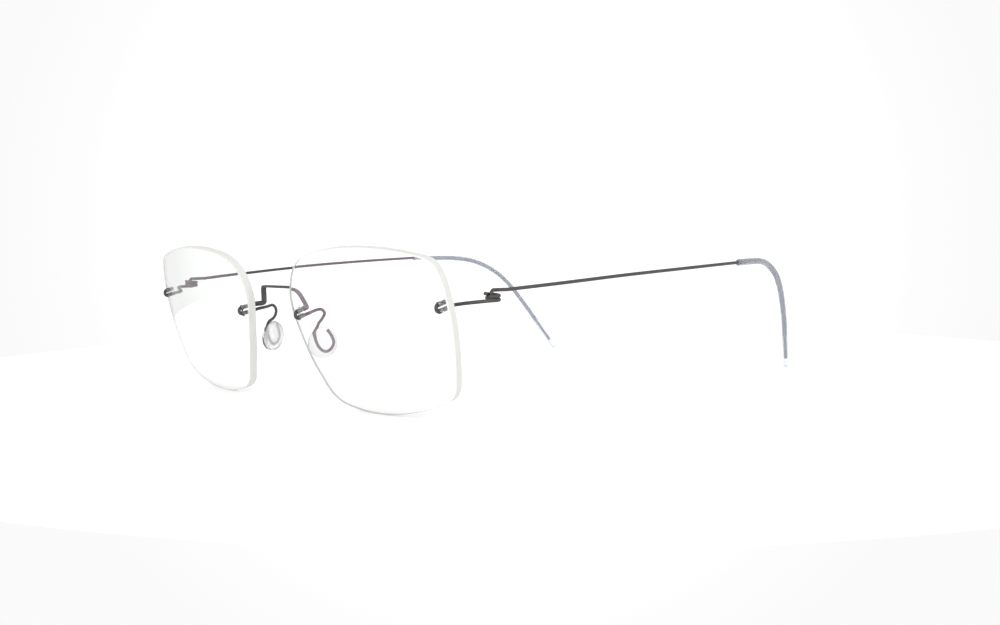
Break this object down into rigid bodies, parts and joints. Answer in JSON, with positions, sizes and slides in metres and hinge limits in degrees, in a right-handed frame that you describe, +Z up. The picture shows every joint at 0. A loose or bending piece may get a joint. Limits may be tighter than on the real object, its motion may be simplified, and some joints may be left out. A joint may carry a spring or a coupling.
{
  "type": "rimless eyeglasses",
  "caption": "Rimless eyeglasses of bent metal wire: drilled clear lenses, a flat wire bridge, coiled screwless hinges, clear nose pads and clear temple tips.",
  "frame": {"origin": "under the middle of the bounding box, on the table that the unfolded glasses stand on", "axes": "+X towards the wearer's left, +Y from the lenses towards the ears, +Z up"},
  "size_m": [0.1392, 0.1554, 0.0391],
  "materials": {
    "wire": "satin dark brown coating on metal wire",
    "lens": "polished and clear, with a matt ground edge",
    "bush": "clear",
    "silicone": "clear, smooth"
  },
  "bodies": {
    "front": {"bridge_wire": "wire", "endpiece_wire_left": "wire", "endpiece_wire_right": "wire", "lens_bush_nasal_lower_left": "bush", "lens_bush_nasal_lower_right": "bush", "lens_bush_nasal_upper_left": "bush", "lens_bush_nasal_upper_right": "bush", "lens_bush_temporal_lower_left": "bush", "lens_bush_temporal_lower_right": "bush", "lens_bush_temporal_upper_left": "bush", "lens_bush_temporal_upper_right": "bush", "lens_left": "lens", "lens_right": "lens", "nose_pad_left": "silicone", "nose_pad_right": "silicone"},
    "left_temple": {"temple_wire_left": "wire", "temple_tip_left": "silicone"},
    "right_temple": {"temple_wire_right": "wire", "temple_tip_right": "silicone"}
  },
  "joints": [
    {"name": "left_temple_hinge", "type": "hinge", "parent": "front", "child": "left_temple", "pos_m": [0.0639, -0.05985, 0.02925], "axis": [0, 0, 1], "range_deg": [0, 86]},
    {"name": "right_temple_hinge", "type": "hinge", "parent": "front", "child": "right_temple", "pos_m": [-0.0639, -0.05985, 0.02925], "axis": [0, 0, -1], "range_deg": [0, 75]}
  ]
}
